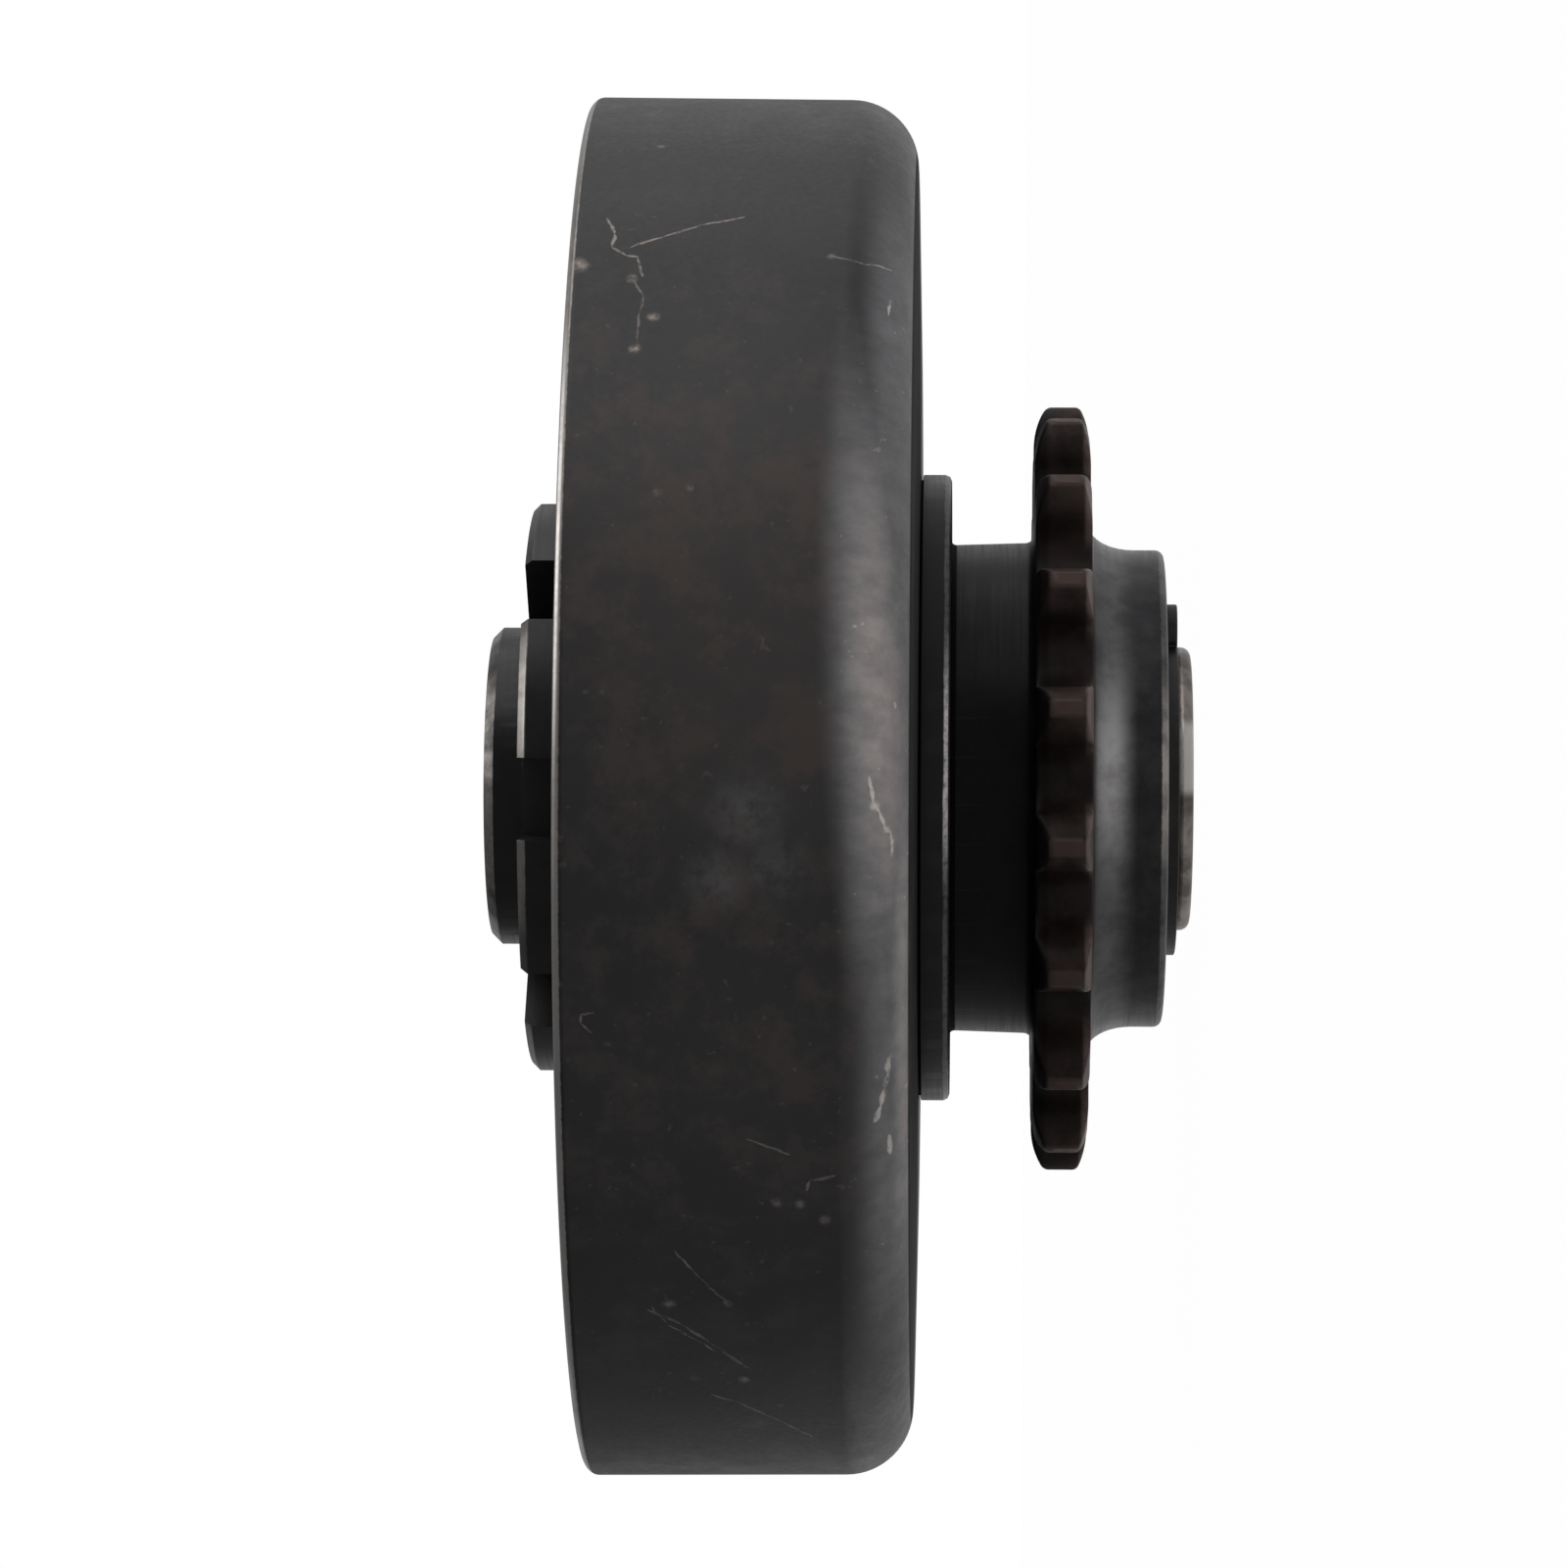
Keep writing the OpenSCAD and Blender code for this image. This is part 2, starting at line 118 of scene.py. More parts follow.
def add_camera():
    camera = bpy.data.objects.new("camera", bpy.data.cameras.new("camera"))
    bpy.context.scene.collection.objects.link(camera)
    bpy.context.scene.camera = camera
    camera.data.sensor_width = 36
    camera.data.lens = FOCAL_PX / PHOTO_PX * 36
    camera.data.clip_start, camera.data.clip_end = 0.01, 20
    yaw = math.atan((VANISH_X - PHOTO_PX / 2) / FOCAL_PX)
    lying = Matrix(((0, 1, 0), (0, 0, -1), (-1, 0, 0))).to_4x4()
    turned = Matrix.Rotation(yaw, 4, "X") @ lying @ Matrix.Rotation(ROLL, 4, "Z")
    high = (SLEEVE_END_X - VANISH_X) * MM_PER_PX * MM
    right_of_axis = (AXIS_Y - PHOTO_PX / 2) * MM_PER_PX * MM
    away = FOCAL_PX * MM_PER_PX * MM
    camera.matrix_world = Matrix.Translation((right_of_axis, -away, high)) @ turned


# Shader maths

class Value:
    """A socket of a material's node tree, with arithmetic that adds Math nodes."""

    def __init__(self, tree, socket):
        self.tree, self.socket = tree, socket

    def _math(self, operation, *others, clamp=False):
        node = self.tree.nodes.new("ShaderNodeMath")
        node.operation, node.use_clamp = operation, clamp
        for place, other in zip(node.inputs, (self, *others)):
            connect(self.tree, place, other)
        return Value(self.tree, node.outputs[0])

    def __add__(self, other): return self._math("ADD", other)
    def __radd__(self, other): return self._math("ADD", other)
    def __sub__(self, other): return self._math("SUBTRACT", other)
    def __rsub__(self, other): return (self * -1) + other
    def __mul__(self, other): return self._math("MULTIPLY", other)
    def __rmul__(self, other): return self._math("MULTIPLY", other)
    def __truediv__(self, other): return self._math("DIVIDE", other)
    def __pow__(self, other): return self._math("POWER", other)

    def lowest(self, other): return self._math("MINIMUM", other)
    def highest(self, other): return self._math("MAXIMUM", other)
    def size(self): return self._math("ABSOLUTE")
    def clamped(self): return self._math("ADD", 0, clamp=True)

    def step(self, low, high, first=0.0, last=1.0):
        """Rises smoothly from first to last while the value goes from low to high."""
        node = self.tree.nodes.new("ShaderNodeMapRange")
        node.interpolation_type = "SMOOTHSTEP"
        for name, given in (("Value", self), ("From Min", low), ("From Max", high),
                            ("To Min", first), ("To Max", last)):
            connect(self.tree, node.inputs[name], given)
        return Value(self.tree, node.outputs["Result"])


def connect(tree, place, given):
    if isinstance(given, Value):
        tree.links.new(given.socket, place)
    elif given is not None:
        place.default_value = given


class Finish:
    """A material under construction: texture helpers in millimetres, and one Principled shader."""

    def __init__(self, name):
        self.material = bpy.data.materials.new(name)
        self.material.use_nodes = True
        self.tree = self.material.node_tree
        self.tree.nodes.clear()
        place = self.node("ShaderNodeTexCoord", "Object")
        self.mm = self.vector("SCALE", place, Scale=1 / MM)
        split = self.tree.nodes.new("ShaderNodeSeparateXYZ")
        connect(self.tree, split.inputs[0], self.mm)
        self.x, self.y, self.z = (Value(self.tree, split.outputs[k]) for k in range(3))
        self.r = (self.x * self.x + self.y * self.y) ** 0.5

    def node(self, kind, output=0, settings=None, **inputs):
        node = self.tree.nodes.new(kind)
        for name, given in (settings or {}).items():
            setattr(node, name, given)
        for name, given in inputs.items():
            connect(self.tree, node.inputs[name.replace("_", " ")], given)
        return Value(self.tree, node.outputs[output])

    def vector(self, operation, *vectors, **inputs):
        node = self.tree.nodes.new("ShaderNodeVectorMath")
        node.operation = operation
        for place, given in zip(node.inputs, vectors):
            connect(self.tree, place, given)
        for name, given in inputs.items():
            connect(self.tree, node.inputs[name], given)
        number = operation in ("LENGTH", "DISTANCE", "DOT_PRODUCT")
        return Value(self.tree, node.outputs[1 if number else 0])

    def noise(self, across, detail=3.0, rough=0.55, at=None, stretch=None, seed=0.0):
        """Noise between 0 and 1 whose blotches are about `across` millimetres wide."""
        at = at or self.mm
        if stretch:
            at = self.vector("MULTIPLY", at, stretch)
        if seed:
            at = self.vector("ADD", at, (seed, seed * 1.7, seed * 0.6))
        return self.node("ShaderNodeTexNoise", 0, {"noise_dimensions": "3D"}, Vector=at,
                         Scale=1 / across, Detail=detail, Roughness=rough)

    def around(self):
        """The place on a turned surface: angle, radius and height, for marks that run round it."""
        angle = self.y._math("ARCTAN2", self.x)
        return self.node("ShaderNodeCombineXYZ", 0, None, X=angle * 10, Y=self.r, Z=self.z)

    def mix(self, share, first, second):
        """A colour between two colours."""
        node = self.tree.nodes.new("ShaderNodeMix")
        node.data_type = "RGBA"
        sockets = [s for s in node.inputs if s.type in ("RGBA", "VALUE")]
        factor = sockets[0]
        colours = [s for s in node.inputs if s.type == "RGBA"]
        connect(self.tree, factor, share)
        connect(self.tree, colours[0], first)
        connect(self.tree, colours[1], second)
        return Value(self.tree, [s for s in node.outputs if s.type == "RGBA"][0])

    def spot(self, at, point, reach):
        """1 at a point, falling to 0 at reach; both in millimetres."""
        gap = self.vector("LENGTH", self.vector("SUBTRACT", at, point))
        return gap.step(reach, 0)

    def streak(self, at, start, end, width):
        """A thin ellipse with its foci at two points: 0 between them, 1 on its outline."""
        length = (Vector(end) - Vector(start)).length
        over = math.hypot(length, 2 * width) - length
        reach = self.vector("DISTANCE", at, start) + self.vector("DISTANCE", at, end)
        return reach._math("MULTIPLY_ADD", 1 / over, -length / over)

    def finish(self, colour, rough, metal=0.0, height=None, depth=0.05, ior=1.5):
        """Connects the shader; height is in units of depth millimetres."""
        shader = self.tree.nodes.new("ShaderNodeBsdfPrincipled")
        connect(self.tree, shader.inputs["Base Color"], colour)
        connect(self.tree, shader.inputs["Roughness"], rough)
        connect(self.tree, shader.inputs["Metallic"], metal)
        shader.inputs["IOR"].default_value = ior
        if height is not None:
            bump = self.node("ShaderNodeBump", 0, None, Strength=1.0, Distance=depth * MM,
                             Height=height)
            connect(self.tree, shader.inputs["Normal"], bump)
        out = self.tree.nodes.new("ShaderNodeOutputMaterial")
        self.tree.links.new(shader.outputs[0], out.inputs[0])
        return self.material


def srgb(red, green, blue):
    """A colour as it is seen, 0 to 255, in linear light."""
    def linear(v):
        v /= 255
        return v / 12.92 if v <= 0.04045 else ((v + 0.055) / 1.055) ** 2.4
    return (linear(red), linear(green), linear(blue), 1.0)


# Modelling helpers

def new_object(name, bm, material, smooth_angle=35, body=None, node=None):
    """Makes the object of a bmesh, with smooth faces up to an angle, riding on its body."""
    mesh = bpy.data.meshes.new(name)
    bm.to_mesh(mesh)
    bm.free()
    piece = bpy.data.objects.new(name, mesh)
    bpy.context.scene.collection.objects.link(piece)
    mesh.materials.append(material)
    mesh.shade_smooth()
    mesh.set_sharp_from_angle(angle=math.radians(smooth_angle))
    normals = piece.modifiers.new("even_shading", "WEIGHTED_NORMAL")
    normals.mode, normals.keep_sharp = "FACE_AREA", True
    if body:
        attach(piece, body)
    if node:
        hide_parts(node)
    return piece


def apply_modifiers(piece):
    """Bakes the piece's modifiers into its mesh."""
    graph = bpy.context.evaluated_depsgraph_get()
    made = bpy.data.meshes.new_from_object(piece.evaluated_get(graph))
    old = piece.data
    piece.modifiers.clear()
    piece.data = made
    bpy.data.meshes.remove(old)


def bevel_piece(piece, width, angle=40, segments=2):
    """Rounds the piece's sharp edges by a width in millimetres."""
    bevel = piece.modifiers.new("rounded_edges", "BEVEL")
    bevel.width, bevel.segments = width * MM, segments
    bevel.limit_method, bevel.angle_limit = "ANGLE", math.radians(angle)
    bevel.use_clamp_overlap = True
    bevel.harden_normals = True


def profile_ring(corners):
    """A closed outline in the XZ plane: each corner is (radius, height, rounding, segments)."""
    bm = bmesh.new()
    verts = [bm.verts.new((c[0] * MM, 0, c[1] * MM)) for c in corners]
    for a, b in zip(verts, verts[1:] + verts[:1]):
        bm.edges.new((a, b))
    for vert, corner in zip(verts, corners):
        if len(corner) > 2 and corner[2]:
            bmesh.ops.bevel(bm, geom=[vert], offset=corner[2] * MM, segments=corner[3],
                            profile=0.5, affect="VERTICES", material=-1)
    return bm


def spun(bm, steps):
    """Turns the outline once round the axis."""
    bmesh.ops.spin(bm, geom=bm.verts[:] + bm.edges[:], cent=(0, 0, 0), axis=(0, 0, 1),
                   dvec=(0, 0, 0), angle=TAU, steps=steps, use_merge=True)
    bmesh.ops.remove_doubles(bm, verts=bm.verts, dist=1e-7)
    bmesh.ops.recalc_face_normals(bm, faces=bm.faces)
    return bm


def node_copy(node, name, material, width, body, angle=35):
    """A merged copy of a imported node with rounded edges, which stands for it."""
    source = bpy.data.objects[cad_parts[node].name]
    bm = bmesh.new()
    bm.from_mesh(source.data)
    bmesh.ops.remove_doubles(bm, verts=bm.verts, dist=2e-6)
    bmesh.ops.dissolve_limit(bm, angle_limit=math.radians(0.4), verts=bm.verts, edges=bm.edges)
    piece = new_object(name, bm, material, angle, body, node)
    if width:
        bevel_piece(piece, width, angle)
    return piece


# Drum and sprocket hub

def make_drum(material):
    edge = DRUM_R - DRAFT
    floor_z = DRUM_BACK_Z + BACK
    dish_r = FLANGE_R + DISH_START
    hole_r = SPIGOT_R + SPIGOT_GAP
    bm = profile_ring([
        (hole_r, DRUM_BACK_Z), (dish_r, DRUM_BACK_Z, 3, 3),
        (edge, DRUM_BACK_Z + DISH, CORNER_R, 16),
        (DRUM_R, RIM_Z - RIM_CHAMFER, 0.3, 3), (DRUM_R - RIM_CHAMFER, RIM_Z, 0.15, 2),
        (DRUM_R - WALL, RIM_Z, 0.35, 2), (DRUM_R - WALL, floor_z + DISH, CORNER_R - WALL, 6),
        (dish_r, floor_z), (hole_r, floor_z)])
    spun(bm, 288)
    return new_object("drum_shell", bm, material, 30, "drum", "drum_cup")


def circle_crossing(c0, r0, c1, r1):
    """The crossing of two circles that lies further out along X."""
    dx, dy = c1[0] - c0[0], c1[1] - c0[1]
    d = math.hypot(dx, dy)
    a = (r0 * r0 - r1 * r1 + d * d) / (2 * d)
    h = math.sqrt(r0 * r0 - a * a)
    found = [(c0[0] + (a * dx - s * h * dy) / d, c0[1] + (a * dy + s * h * dx) / d)
             for s in (-1, 1)]
    return max(found)


def tooth_outline():
    """The sprocket's outline as (angle, radius) all the way round, from one half tooth's arcs."""
    half = math.pi / TEETH
    pitch_r = PITCH / 2 / math.sin(half)
    tip_r = pitch_r + TOOTH_RISE
    seat_r = ROLLER_D / 2 * 1.035
    seat = (pitch_r * math.cos(half), PITCH / 2)
    flank_r = seat_r * 1.28
    flank = (seat[0], PITCH / 2 - seat_r + 0.03 - flank_r)
    cross = circle_crossing(seat, seat_r, flank, flank_r)
    tip = circle_crossing((0, 0), tip_r, flank, flank_r)
    if tip[1] < 0:
        raise ValueError("the tooth has no tip land")

    def arc(centre, radius, start, end, steps):
        a0 = math.atan2(start[1] - centre[1], start[0] - centre[0])
        a1 = math.atan2(end[1] - centre[1], end[0] - centre[0])
        a1 += TAU * round((a0 - a1) / TAU)
        return [(centre[0] + radius * math.cos(a0 + (a1 - a0) * k / steps),
                 centre[1] + radius * math.sin(a0 + (a1 - a0) * k / steps))
                for k in range(1, steps + 1)]

    bottom = (seat[0] - seat_r * math.cos(half), seat[1] - seat_r * math.sin(half))
    half_tooth = ([bottom] + arc(seat, seat_r, bottom, cross, 8)
                  + arc(flank, flank_r, cross, tip, 7))
    polar = [(math.atan2(y, x), math.hypot(x, y)) for x, y in half_tooth]
    whole = [(-a, r) for a, r in polar] + [(a, r) for a, r in reversed(polar[1:])]
    outline = []
    for k in range(TEETH):
        shift = math.radians(TOOTH_PHASE) + k * 2 * half
        outline += [(a + shift, r) for a, r in whole]
    return outline, tip_r


def side_half(radius, tip_r, fall):
    """Half the sprocket's thickness at a radius: full up to the teeth's sides, then curved."""
    curve_r = (TOOTH_SIDE_R ** 2 + fall ** 2) / 2 / fall
    past = max(0.0, radius - (tip_r - TOOTH_SIDE_R))
    return SPROCKET_T / 2 - curve_r + math.sqrt(max(0.0, curve_r ** 2 - past ** 2))


def make_sprocket(material):
    outline, tip_r = tooth_outline()
    base_r = NOSE_R + NOSE_FILLET_R + 0.3
    mid = SPROCKET_Z + SPROCKET_T / 2
    rings = 9

    def side(z, inward):
        """Corners on one side face of the plate and its rounded edge, going out or back."""
        out_r = tip_r - TOOTH_EDGE
        found = [(base_r + (out_r - base_r) * k / rings, z) for k in range(1, rings + 1)]
        for turn in (30, 60, 90):
            a = math.radians(turn)
            found.append((out_r + TOOTH_EDGE * math.sin(a),
                          z + math.copysign(TOOTH_EDGE * (1 - math.cos(a)), mid - z)))
        return found[::-1] if inward else found

    fillet = [(NOSE_R + NOSE_FILLET_R * (1 - math.cos(a)),
               SPROCKET_Z - NOSE_FILLET_L * (1 - math.sin(a)))
              for a in [math.pi / 2 * k / 10 for k in range(11)]]
    recess_z = NOSE_Z + RECESS_DEPTH
    corners = [(HUB_BORE_R, recess_z), (RECESS_R, recess_z), (RECESS_R, NOSE_Z, 0.15, 1),
               (NOSE_R, NOSE_Z, NOSE_ROUND, 4)]
    corners += fillet
    corners += side(SPROCKET_Z, False)
    corners += [(tip_r, mid - 0.7), (tip_r, mid + 0.7)]
    corners += side(WAIST_Z, True)
    foot_r = WAIST_R - WAIST_TAPER
    gap_r, gap_z = FLANGE_R - FLANGE_GAP_W, DRUM_BACK_Z - FLANGE_GAP_H
    corners += [(WAIST_R, WAIST_Z, WAIST_FILLET, 5), (foot_r, FLANGE_Z, 0.35, 3),
                (FLANGE_R, FLANGE_Z, FLANGE_CHAMFER, 2), (FLANGE_R, gap_z, 0.06, 1),
                (gap_r, gap_z), (gap_r, DRUM_BACK_Z),
                (SPIGOT_R, DRUM_BACK_Z), (SPIGOT_R, DRUM_BACK_Z + BACK),
                (STAKE_R, DRUM_BACK_Z + BACK), (STAKE_R - 0.25, sprocket_high[2], 0.15, 2),
                (HUB_BORE_R, sprocket_high[2])]
    bm = profile_ring(corners)
    steps = len(outline)
    spun(bm, steps)
    under_plate, over_plate = SPROCKET_Z - 0.01, WAIST_Z + 0.01
    for vert in bm.verts:
        x, y, z = (c / MM for c in vert.co)
        radius = math.hypot(x, y)
        column = round(math.atan2(y, x) / (TAU / steps)) % steps
        angle, reach = outline[column]
        if radius > base_r + 0.01 and under_plate < z < over_plate:
            share = (radius - base_r) / (tip_r - base_r)
            radius = base_r + share * (reach - base_r)
            fall = TOOTH_SIDE_WAIST if z > mid else TOOTH_SIDE_NOSE
            half = side_half(radius, tip_r, fall)
            drop = SPROCKET_T / 2 - abs(z - mid)
            reach = (half - TOOTH_EDGE) / 2 if drop > TOOTH_EDGE + 0.01 else half - drop
            z = mid + math.copysign(reach, z - mid)
        vert.co = (radius * math.cos(angle) * MM, radius * math.sin(angle) * MM, z * MM)
    return new_object("sprocket_body", bm, material, 30, "drum", "sprocket_hub")


# Hub, rings and washers

def make_hub(material):
    undercut = 0.3
    driver_z = plate_high[2]
    retainer_low, retainer_high = node_mm("shoe_retainer")
    retainer_z, retainer_top = retainer_low[2], retainer_high[2]
    corners = [
        (BORE_R, 0, BORE_CHAMFER, 1), (JOURNAL_R, 0, JOURNAL_ROUND, 5),
        (JOURNAL_R, snap_low[2]), (JOURNAL_R - SNAP_GROOVE, snap_low[2]),
        (JOURNAL_R - SNAP_GROOVE, snap_high[2]), (JOURNAL_R, snap_high[2]),
        (JOURNAL_R, plate_low[2]), (PILOT_R, plate_low[2]), (PILOT_R, driver_z),
        (DRIVER_R, driver_z, 0.2, 1), (DRIVER_R, retainer_z),
        (DRIVER_R - RETAINER_GROOVE, retainer_z), (DRIVER_R - RETAINER_GROOVE, retainer_top),
        (DRIVER_R, retainer_top), (DRIVER_R, DRIVER_TOP_Z, DRIVER_CHAMFER, 1),
        (BOSS_R + undercut, DRIVER_TOP_Z), (BOSS_R, DRIVER_TOP_Z + undercut),
        (BOSS_R, TOP_Z, BOSS_CHAMFER, 1), (BORE_R, TOP_Z, BORE_CHAMFER, 1)]
    bm = spun(profile_ring(corners), 192)
    piece = new_object("hub_body", bm, material, 30, "hub", "drive_hub")
    cutters = bmesh.new()
    cut_h, spare = 40, 4
    for k in range(SHOES):
        box = bmesh.ops.create_cube(cutters, size=1)["verts"]
        place = (Matrix.Rotation(math.radians(SLOT_PHASE + 45 * k), 4, "Z")
                 @ Matrix.Translation(((DRIVER_R - SLOT_DEPTH / 2 + spare / 2) * MM, 0,
                                       (plate_low[2] + cut_h / 2) * MM))
                 @ Matrix.Diagonal(((SLOT_DEPTH + spare) * MM, SLOT_W * MM, cut_h * MM, 1)))
        bmesh.ops.transform(cutters, matrix=place, verts=box)
    key = bmesh.ops.create_cube(cutters, size=1)["verts"]
    place = (Matrix.Translation((KEY_R / 2 * MM, 0, TOP_Z / 2 * MM))
             @ Matrix.Diagonal((KEY_R * MM, KEY_W * MM, (TOP_Z + 10) * MM, 1)))
    bmesh.ops.transform(cutters, matrix=place, verts=key)
    cutter = new_object("slot_cutter", cutters, material)
    cut = piece.modifiers.new("slots_and_keyway", "BOOLEAN")
    cut.operation, cut.solver, cut.object = "DIFFERENCE", "EXACT", cutter
    apply_modifiers(piece)
    bpy.data.objects.remove(cutter)
    piece.data.shade_smooth()
    piece.data.set_sharp_from_angle(angle=math.radians(30))
    bevel_piece(piece, 0.15, 40, 2)
    return piece


def ring_piece(name, node, body, material, inner, outer, edge=0.12, steps=160):
    low, high = node_mm(node)
    bm = spun(profile_ring([(inner, low[2], edge, 2), (outer, low[2], edge, 2),
                            (outer, high[2], edge, 2), (inner, high[2], edge, 2)]), steps)
    return new_object(name, bm, material, 40, body, node)


def make_spring(material):
    """One arc of the garter spring over each shoe, so that the coils follow the shoes."""
    low, high = node_mm("garter_spring")
    wire_r, coils, steps = 0.4, 24, 16
    coil_r = (high[2] - low[2]) / 2
    middle_r = high[0] - coil_r
    z = (low[2] + high[2]) / 2
    for shoe in range(SHOES):
        curve = bpy.data.curves.new(f"garter_arc_{shoe + 1}", "CURVE")
        curve.dimensions = "3D"
        curve.bevel_depth, curve.bevel_resolution = wire_r * MM, 1
        curve.use_fill_caps = True
        spline = curve.splines.new("POLY")
        count = coils * steps + 1
        spline.points.add(count - 1)
        for i, point in enumerate(spline.points):
            turn = TAU * i / steps
            a = math.radians(SLOT_PHASE + 45 * (shoe - 0.5 + i / (count - 1)))
            r = middle_r + (coil_r - wire_r) * math.cos(turn)
            point.co = (r * math.cos(a) * MM, r * math.sin(a) * MM,
                        (z + (coil_r - wire_r) * math.sin(turn)) * MM, 1)
        wire = bpy.data.objects.new(curve.name, curve)
        bpy.context.scene.collection.objects.link(wire)
        graph = bpy.context.evaluated_depsgraph_get()
        mesh = bpy.data.meshes.new_from_object(wire.evaluated_get(graph))
        bpy.data.objects.remove(wire)
        piece = bpy.data.objects.new(f"garter_arc_{shoe + 1}", mesh)
        bpy.context.scene.collection.objects.link(piece)
        mesh.materials.clear()
        mesh.materials.append(material)
        mesh.shade_smooth()
        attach(piece, f"shoe_{shoe + 1}")
        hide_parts("garter_spring")


# Finishes

# The drum's marks. Each place is (degrees round from the photographed side, height), each
# scratch is (width, places) and each chip is (degrees, height, reach).
MARK_RISE = 0.45
CLEAR_SCRATCHES = [
    (0.13, [(50.7, 43.5), (48.5, 42.8), (46.8, 43), (45.8, 41.9), (45.6, 41.1), (43.3, 40.6)]),
    (0.13, [(46.8, 41.7), (48.2, 39.3), (49.8, 36.5), (50.9, 33.4)]),
    (0.09, [(45.9, 26.9), (45.3, 24.6), (46, 22.6)]),
    (0.14, [(1, 23.9), (-1.2, 23.5), (-1.8, 23.1), (-3, 22.7), (-3.5, 22.3), (-5.4, 22.2)]),
    (0.22, [(-21.5, 22.4), (-22.9, 22.5), (-24, 22.7), (-25.4, 23), (-26.7, 23.4)]),
    (0.2, [(-28.3, 22.4), (-30.2, 22.3)]),
    (0.12, [(40.5, 22.8), (42.4, 22.7)])]
CLEAR_CHIPS = [(-1.4, 23.4, 0.32), (-3.2, 22.6, 0.26), (35.7, 40.9, 0.4), (44.6, 45.3, 0.7),
               (43.1, 41.4, 0.4), (39, 39.7, 0.4)]
FAINT_SCRATCHES = [
    (0.12, [(43.1, 41.4), (41.1, 40.5), (39.4, 40.7), (36.5, 40.8), (35.7, 40.9)]),
    (0.09, [(-17.2, 43.2), (-17.4, 44.2), (-18.1, 44.1), (-18.9, 43.3)]),
    (0.14, [(-44.8, 40), (-46.6, 37.6), (-48.9, 35.6), (-52.8, 32.6)]),
    (0.1, [(-44.4, 39.7), (-46.6, 38.6), (-48.7, 36.5), (-50.4, 34.9)]),
    (0.1, [(-38.3, 37.9), (-41.3, 36), (-44.1, 34.1)]),
    (0.11, [(-56.6, 35.8), (-58, 33.7), (-61.8, 30.4), (-65.1, 28.3)]),
    (0.11, [(-27.7, 32.5), (-29.1, 29.4)]),
    (0.13, [(-32.4, 28.3), (-31.5, 28.1), (-31, 26.2)])]
FAINT_CHIPS = [(45.9, 27, 0.3), (62.7, 40, 0.35), (22.8, 39, 0.3), (23.2, 36.7, 0.3),
               (-33.5, 30.4, 0.4), (-33.7, 28.8, 0.35), (-35.2, 27, 0.4), (-44.2, 38.4, 0.45),
               (-44.1, 34.1, 0.35), (-54, 36.8, 0.3), (-54.3, 33.2, 0.45)]


def on_wall(degrees, height):
    """A place on the drum's wall, rolled out flat."""
    return (math.radians(degrees) * DRUM_R, height + MARK_RISE, 0)


def drum_marks(f, wavy):
    """Scratches and chips on the rolled-out wall, broken up by noise."""
    def nearness(scratches, chips):
        gap = None
        for degrees, height, reach in chips:
            near = f.vector("DISTANCE", wavy, on_wall(degrees, height)) / reach
            gap = gap.lowest(near) if gap else near
        for width, path in scratches:
            for start, end in zip(path, path[1:]):
                gap = gap.lowest(f.streak(wavy, on_wall(*start), on_wall(*end), width))
        return gap.step(1.5, 0.1)

    broken = f.noise(1.1, 4, 0.75, seed=31).step(0.36, 0.6, 0.12, 1)
    mark = (nearness(CLEAR_SCRATCHES, CLEAR_CHIPS) * 0.85
            + nearness(FAINT_SCRATCHES, FAINT_CHIPS) * 0.35)
    return (mark * broken).clamped()


